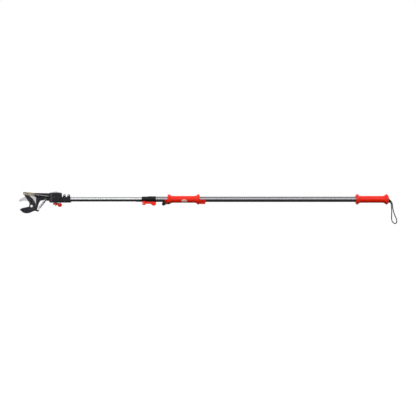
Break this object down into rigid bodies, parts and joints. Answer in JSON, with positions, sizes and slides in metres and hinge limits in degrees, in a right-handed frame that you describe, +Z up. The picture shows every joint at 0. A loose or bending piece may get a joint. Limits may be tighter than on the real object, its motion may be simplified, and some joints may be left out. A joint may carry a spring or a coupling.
{
  "type": "telescoping pole pruner",
  "caption": "Two-section telescoping pole with a swivelling hooked bypass cutting head worked by a cord and a sliding grip, quick-release clamp, end grip and wrist strap.",
  "frame": {"origin": "on the pole's axis, at the middle of the end grip's waist", "axes": "+X along the pole towards the strap end (the cutting head is at -X), +Z up, away from the cord groove; the blades lie in the XZ plane"},
  "size_m": [2.27, 0.076, 0.196],
  "materials": {
    "aluminium_tube": "anodised, drawn along its length",
    "red_plastic": "satin moulded",
    "black_plastic": "fine moulded grain",
    "cast_alloy": "dark grey coated casting",
    "coated_blade": "black non-stick coating",
    "polished_steel": "ground and polished",
    "zinc_fasteners": "zinc plated",
    "yellow_zinc": "yellow chromate, faintly iridescent",
    "bronze": "plain bearing bronze",
    "braided_cord": "braided polyester",
    "badge": "plain raised oval"
  },
  "bodies": {
    "pole": {"outer_tube": "aluminium_tube", "clamp_collar": "black_plastic", "collar_screws": "zinc_fasteners", "clamp_shoe": "black_plastic", "clamp_lever_pin": "zinc_fasteners", "end_grip": "red_plastic", "end_plug": "black_plastic", "wrist_strap": "braided_cord"},
    "clamp_lever": {"clamp_lever": "red_plastic"},
    "slider": {"slide_grip": "red_plastic", "slide_carriage": "red_plastic", "carriage_screws": "zinc_fasteners", "grip_badge": "badge", "lock_pin": "coated_blade", "lock_jaw": "black_plastic", "lock_spring": "zinc_fasteners"},
    "cord_lock": {"cord_lock_lever": "black_plastic"},
    "cord": {"pull_cord": "braided_cord", "cord_ferrule": "zinc_fasteners"},
    "inner": {"inner_tube": "aluminium_tube", "inner_tube_bush": "black_plastic", "swivel_base": "cast_alloy", "saddle_screws": "zinc_fasteners", "saddle_nuts": "zinc_fasteners", "swivel_bolt": "zinc_fasteners", "swivel_stop_pin": "black_plastic", "roller_pin": "zinc_fasteners", "swivel_cord": "braided_cord"},
    "guide_roller": {"cord_roller": "zinc_fasteners"},
    "swivel_handle": {"swivel_lever": "red_plastic", "swivel_lever_insert": "zinc_fasteners"},
    "head": {"head_frame": "cast_alloy", "counter_blade": "polished_steel", "counter_blade_rivets": "zinc_fasteners", "pivot_bolt": "zinc_fasteners", "pivot_nut": "zinc_fasteners", "spring_pin": "zinc_fasteners", "cord_anchor_pin": "zinc_fasteners", "return_spring": "zinc_fasteners", "head_cord": "braided_cord"},
    "spring_end": {"spring_hook": "zinc_fasteners"},
    "blade": {"cutting_blade": "coated_blade", "blade_lever": "coated_blade", "lever_rivets": "coated_blade", "tail_pin_stud": "zinc_fasteners", "link_pin_stud": "zinc_fasteners", "pivot_bush": "bronze"},
    "link": {"pull_link": "yellow_zinc", "pulley_pin": "zinc_fasteners"},
    "pulley": {"link_pulley": "zinc_fasteners"}
  },
  "joints": [
    {"name": "telescope_slide", "type": "slide", "parent": "pole", "child": "inner", "axis": [-1, 0, 0], "range_m": [0, 1.1]},
    {"name": "clamp_lever_hinge", "type": "hinge", "parent": "pole", "child": "clamp_lever", "pos_m": [-1.366, 0, -0.0235], "axis": [0, 1, 0], "range_deg": [0, 110]},
    {"name": "handle_slide", "type": "slide", "parent": "pole", "child": "slider", "axis": [1, 0, 0], "range_m": [0, 0.094]},
    {"name": "cord_lock_hinge", "type": "hinge", "parent": "slider", "child": "cord_lock", "pos_m": [-1.22, 0, -0.024], "axis": [0, -1, 0], "range_deg": [0, 25], "stiffness_Nm_per_rad": 0.3, "springref_deg": -11.46},
    {"name": "cord_slide", "type": "slide", "parent": "inner", "child": "cord", "axis": [1, 0, 0], "range_m": [0, 0.095]},
    {"name": "guide_roller_spin", "type": "hinge", "parent": "inner", "child": "guide_roller", "pos_m": [-1.876, 0, -0.0052], "axis": [0, 1, 0], "range_deg": [-1000, 0]},
    {"name": "head_swivel", "type": "hinge", "parent": "inner", "child": "head", "pos_m": [-1.896, 0, 0.03], "axis": [0, 0, 1], "range_deg": [-90, 90], "deforming": ["head_cord"]},
    {"name": "swivel_handle_turn", "type": "hinge", "parent": "inner", "child": "swivel_handle", "pos_m": [-1.896, 0, -0.028], "axis": [0, 0, 1], "range_deg": [0, 90]},
    {"name": "blade_pivot", "type": "hinge", "parent": "head", "child": "blade", "pos_m": [-2.038, 0, -0.041], "axis": [0, 1, 0], "range_deg": [0, 34.1], "stiffness_Nm_per_rad": 1.5, "springref_deg": -45.84, "deforming": ["return_spring", "head_cord"]},
    {"name": "spring_stretch", "type": "slide", "parent": "head", "child": "spring_end", "axis": [-0.6736, 0, -0.7391], "range_m": [0, 0.02479], "deforming": ["return_spring"]},
    {"name": "link_hinge", "type": "hinge", "parent": "blade", "child": "link", "pos_m": [-2.078, 0, 0.033], "axis": [0, 1, 0], "range_deg": [-26.74, 0]},
    {"name": "pulley_spin", "type": "hinge", "parent": "link", "child": "pulley", "pos_m": [-2.044, 0, 0.031], "axis": [0, 1, 0], "range_deg": [0, 420]}
  ],
  "couplings": [
    {"joint": "cord_slide", "follows": "handle_slide", "ratio": 1},
    {"joint": "guide_roller_spin", "follows": "handle_slide", "rad_per_m": -166.67},
    {"joint": "blade_pivot", "follows": "handle_slide", "rad_per_m": 6.3129},
    {"joint": "spring_stretch", "follows": "handle_slide", "ratio": 0.26156},
    {"joint": "link_hinge", "follows": "handle_slide", "rad_per_m": -4.9279},
    {"joint": "pulley_spin", "follows": "handle_slide", "rad_per_m": 76.923}
  ]
}
